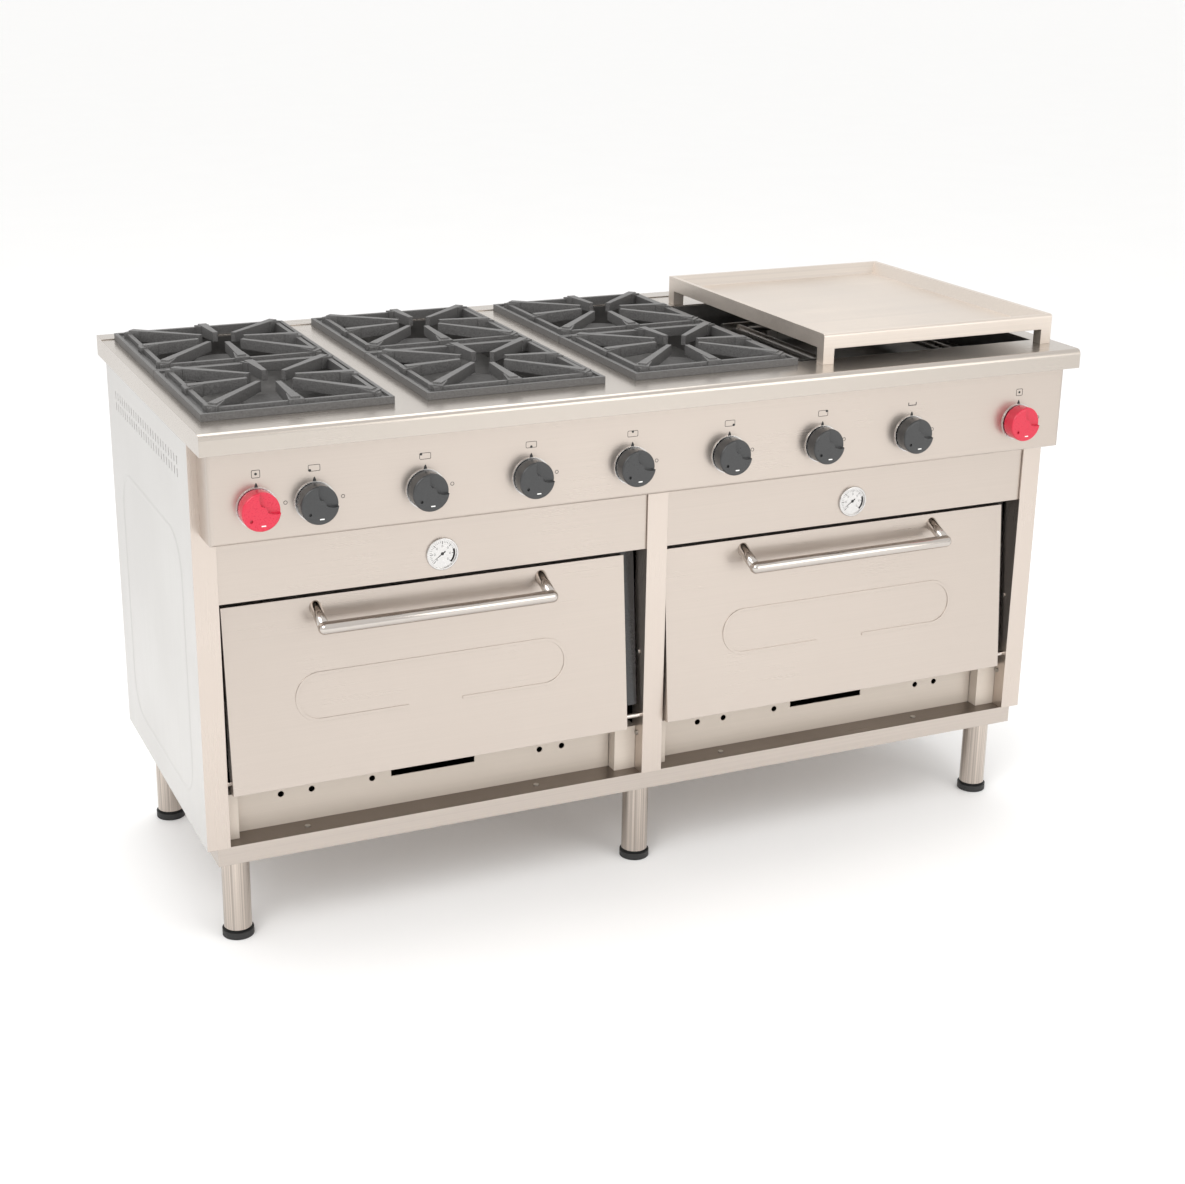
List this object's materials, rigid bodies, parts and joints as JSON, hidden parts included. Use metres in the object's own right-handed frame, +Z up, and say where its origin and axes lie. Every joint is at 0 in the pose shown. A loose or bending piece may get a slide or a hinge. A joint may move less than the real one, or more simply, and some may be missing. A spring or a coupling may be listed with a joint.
{
  "type": "freestanding gas range",
  "caption": "Stainless gas range on tube legs with open burners under cast grates, a lift-off griddle, drop-down oven doors, turn knobs and a folded front control panel.",
  "frame": {"origin": "centre of the footprint on the floor", "axes": "+X to the right along the front, +Y to the back, +Z up"},
  "size_m": [1.5, 0.726, 0.9],
  "materials": {
    "bezel": "satin",
    "knob_red": "glossy red",
    "knob_black": "semi-gloss black",
    "grate_iron": "rough cast",
    "griddle": "satin ground",
    "pan_steel": "dull",
    "burner_iron": "rough",
    "burner_cap": "rough",
    "enamel": "black enamel",
    "rack": "plated wire",
    "burner_pipe": "pipe",
    "chrome": "polished",
    "cream": "satin cream",
    "brass": "turned",
    "pipe_steel": "zinc plated",
    "foot_black": "matte",
    "leg_steel": "polished tube",
    "gauge": "bezel",
    "tray_steel": "mill",
    "screw": "plated",
    "steel": "brushed stainless"
  },
  "bodies": {
    "range": {"back_panel": "steel", "base_tray": "tray_steel", "burner_bodies": "burner_iron", "burner_caps": "burner_cap", "centre_post": "steel", "control_panel": "steel", "fascia_left": "steel", "fascia_right": "steel", "feet": "foot_black", "foot_studs": "pipe_steel", "gas_inlet": "pipe_steel", "gas_manifold": "pipe_steel", "gas_valves": "brass", "griddle_burner": "burner_pipe", "griddle_well": "pan_steel", "knob_bezels": "bezel", "left_post": "steel", "left_side_panel": "steel", "legs": "leg_steel", "lower_panel_left": "cream", "lower_panel_right": "cream", "oven_burner_left": "burner_pipe", "oven_burner_right": "burner_pipe", "oven_liner_left": "enamel", "oven_liner_right": "enamel", "oven_rack_left": "rack", "oven_rack_right": "rack", "rear_trim": "steel", "right_post": "steel", "right_side_panel": "steel", "screw_heads": "screw", "spill_trays": "pan_steel", "thermometer_left": "gauge", "thermometer_right": "gauge", "worktop": "steel"},
    "door_left": {"door_left_handle": "chrome", "door_left_liner": "enamel", "door_left_pins": "chrome", "door_left_skin": "steel"},
    "door_right": {"door_right_handle": "chrome", "door_right_liner": "enamel", "door_right_pins": "chrome", "door_right_skin": "steel"},
    "knob_1_red": {"knob_1_red": "knob_red"},
    "knob_2_black": {"knob_2_black": "knob_black"},
    "knob_3_black": {"knob_3_black": "knob_black"},
    "knob_4_black": {"knob_4_black": "knob_black"},
    "knob_5_black": {"knob_5_black": "knob_black"},
    "knob_6_black": {"knob_6_black": "knob_black"},
    "knob_7_black": {"knob_7_black": "knob_black"},
    "knob_8_black": {"knob_8_black": "knob_black"},
    "knob_9_red": {"knob_9_red": "knob_red"},
    "grate_1_front": {"grate_1_front": "grate_iron"},
    "grate_2_back": {"grate_2_back": "grate_iron"},
    "grate_3_front": {"grate_3_front": "grate_iron"},
    "grate_4_back": {"grate_4_back": "grate_iron"},
    "grate_5_front": {"grate_5_front": "grate_iron"},
    "grate_6_back": {"grate_6_back": "grate_iron"},
    "griddle_plate": {"griddle_plate": "griddle"}
  },
  "joints": [
    {"name": "door_left_hinge", "type": "hinge", "parent": "range", "child": "door_left", "pos_m": [-0.378, -0.26, 0.277], "axis": [1, 0, 0], "range_deg": [0, 95], "stiffness_Nm_per_rad": 6, "springref_deg": -20.05},
    {"name": "door_right_hinge", "type": "hinge", "parent": "range", "child": "door_right", "pos_m": [0.356, -0.26, 0.277], "axis": [1, 0, 0], "range_deg": [0, 95], "stiffness_Nm_per_rad": 6, "springref_deg": -20.05},
    {"name": "knob_1_turn", "type": "hinge", "parent": "range", "child": "knob_1_red", "pos_m": [-0.666, -0.349, 0.731], "axis": [0, -1, 0], "range_deg": [0, 270]},
    {"name": "knob_2_turn", "type": "hinge", "parent": "range", "child": "knob_2_black", "pos_m": [-0.58, -0.349, 0.731], "axis": [0, -1, 0], "range_deg": [0, 180]},
    {"name": "knob_3_turn", "type": "hinge", "parent": "range", "child": "knob_3_black", "pos_m": [-0.411, -0.349, 0.731], "axis": [0, -1, 0], "range_deg": [0, 180]},
    {"name": "knob_4_turn", "type": "hinge", "parent": "range", "child": "knob_4_black", "pos_m": [-0.242, -0.349, 0.731], "axis": [0, -1, 0], "range_deg": [0, 180]},
    {"name": "knob_5_turn", "type": "hinge", "parent": "range", "child": "knob_5_black", "pos_m": [-0.073, -0.349, 0.731], "axis": [0, -1, 0], "range_deg": [0, 180]},
    {"name": "knob_6_turn", "type": "hinge", "parent": "range", "child": "knob_6_black", "pos_m": [0.096, -0.349, 0.731], "axis": [0, -1, 0], "range_deg": [0, 180]},
    {"name": "knob_7_turn", "type": "hinge", "parent": "range", "child": "knob_7_black", "pos_m": [0.265, -0.349, 0.731], "axis": [0, -1, 0], "range_deg": [0, 180]},
    {"name": "knob_8_turn", "type": "hinge", "parent": "range", "child": "knob_8_black", "pos_m": [0.434, -0.349, 0.731], "axis": [0, -1, 0], "range_deg": [0, 180]},
    {"name": "knob_9_turn", "type": "hinge", "parent": "range", "child": "knob_9_red", "pos_m": [0.646, -0.349, 0.731], "axis": [0, -1, 0], "range_deg": [0, 270]},
    {"name": "grate_1_front_lift", "type": "slide", "parent": "range", "child": "grate_1_front", "axis": [0, 0, 1], "range_m": [0, 0.15]},
    {"name": "grate_2_back_lift", "type": "slide", "parent": "range", "child": "grate_2_back", "axis": [0, 0, 1], "range_m": [0, 0.15]},
    {"name": "grate_3_front_lift", "type": "slide", "parent": "range", "child": "grate_3_front", "axis": [0, 0, 1], "range_m": [0, 0.15]},
    {"name": "grate_4_back_lift", "type": "slide", "parent": "range", "child": "grate_4_back", "axis": [0, 0, 1], "range_m": [0, 0.15]},
    {"name": "grate_5_front_lift", "type": "slide", "parent": "range", "child": "grate_5_front", "axis": [0, 0, 1], "range_m": [0, 0.15]},
    {"name": "grate_6_back_lift", "type": "slide", "parent": "range", "child": "grate_6_back", "axis": [0, 0, 1], "range_m": [0, 0.15]},
    {"name": "griddle_plate_lift", "type": "slide", "parent": "range", "child": "griddle_plate", "axis": [0, 0, 1], "range_m": [0, 0.15]}
  ]
}
